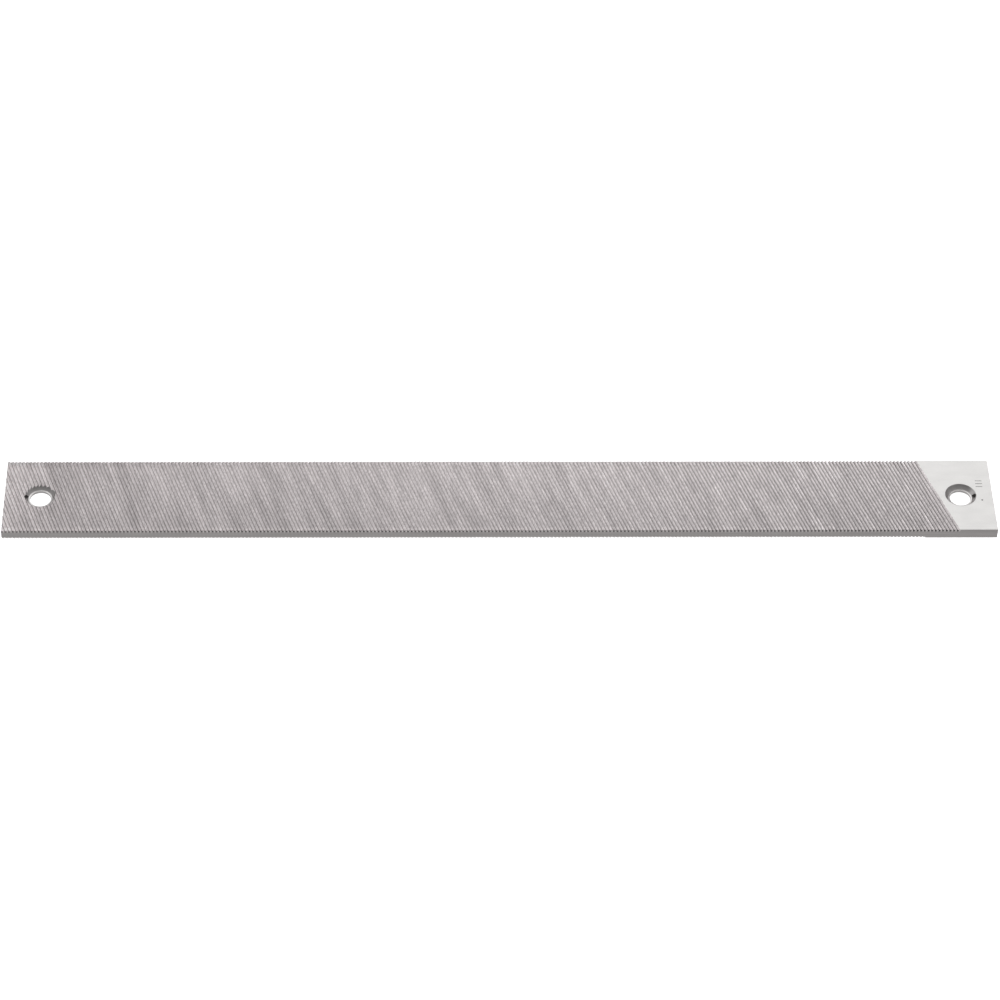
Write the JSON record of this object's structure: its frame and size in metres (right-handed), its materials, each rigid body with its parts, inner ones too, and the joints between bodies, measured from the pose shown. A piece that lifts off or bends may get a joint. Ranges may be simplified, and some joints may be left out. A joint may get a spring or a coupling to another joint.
{
  "type": "milled rasp blade",
  "caption": "Flat exchangeable rasp blade: slanted milled teeth on both faces, a plain ground land at one end and countersunk screw holes near the ends.",
  "frame": {"origin": "middle of the underside, halfway along and across the blade", "axes": "+X along the blade towards the plain land, which is also the way the teeth cut; +Y across it; +Z out of the upper toothed face"},
  "size_m": [0.35, 0.035, 0.004],
  "materials": {
    "blade_steel": "bare hardened steel, milled teeth and satin ground land"
  },
  "bodies": {
    "root": {"rasp_blade": "blade_steel"}
  },
  "joints": []
}
